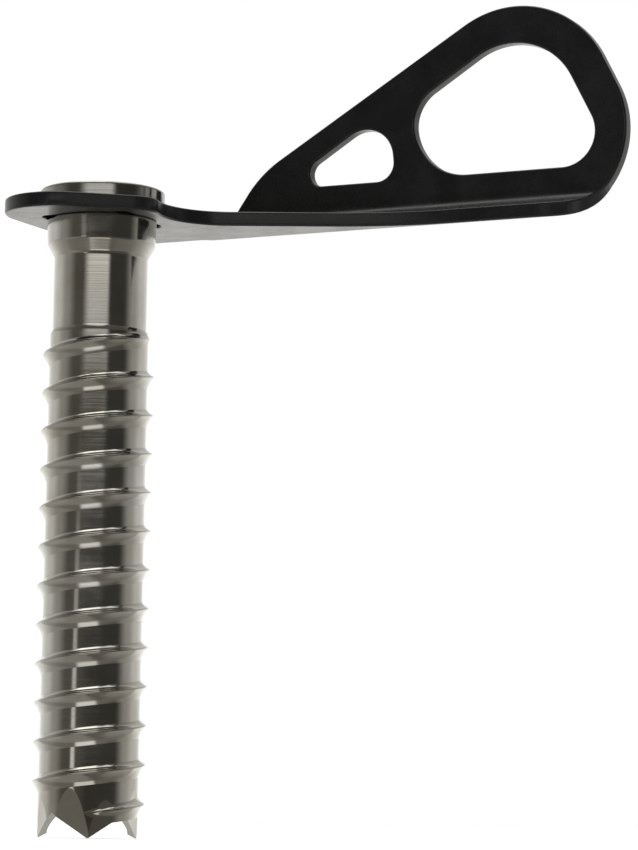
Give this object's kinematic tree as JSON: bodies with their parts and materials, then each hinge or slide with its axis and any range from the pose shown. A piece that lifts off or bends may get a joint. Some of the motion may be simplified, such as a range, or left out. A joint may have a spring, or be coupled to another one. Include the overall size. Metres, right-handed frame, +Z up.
{
  "type": "ice screw",
  "caption": "Hollow steel ice screw tube with toothed tip and coarse thread, fixed to a folded black sheet-metal hanger with a large carabiner eye.",
  "frame": {"origin": "on the tube's axis, where the hanger's underside rests on the collar", "axes": "+Z up the tube towards the head and out of the bore, +X along the hanger's arm, +Y towards its folded leaf"},
  "size_m": [0.1079, 0.0481, 0.1543],
  "materials": {
    "tube_steel": "polished nickel-plated steel",
    "thread_steel": "polished nickel-plated steel",
    "hanger_black": "smooth glossy black coating",
    "ring_steel": "polished steel with turning marks"
  },
  "bodies": {
    "root": {"tube": "tube_steel", "thread": "thread_steel", "hanger": "hanger_black", "head_ring": "ring_steel"}
  },
  "joints": []
}
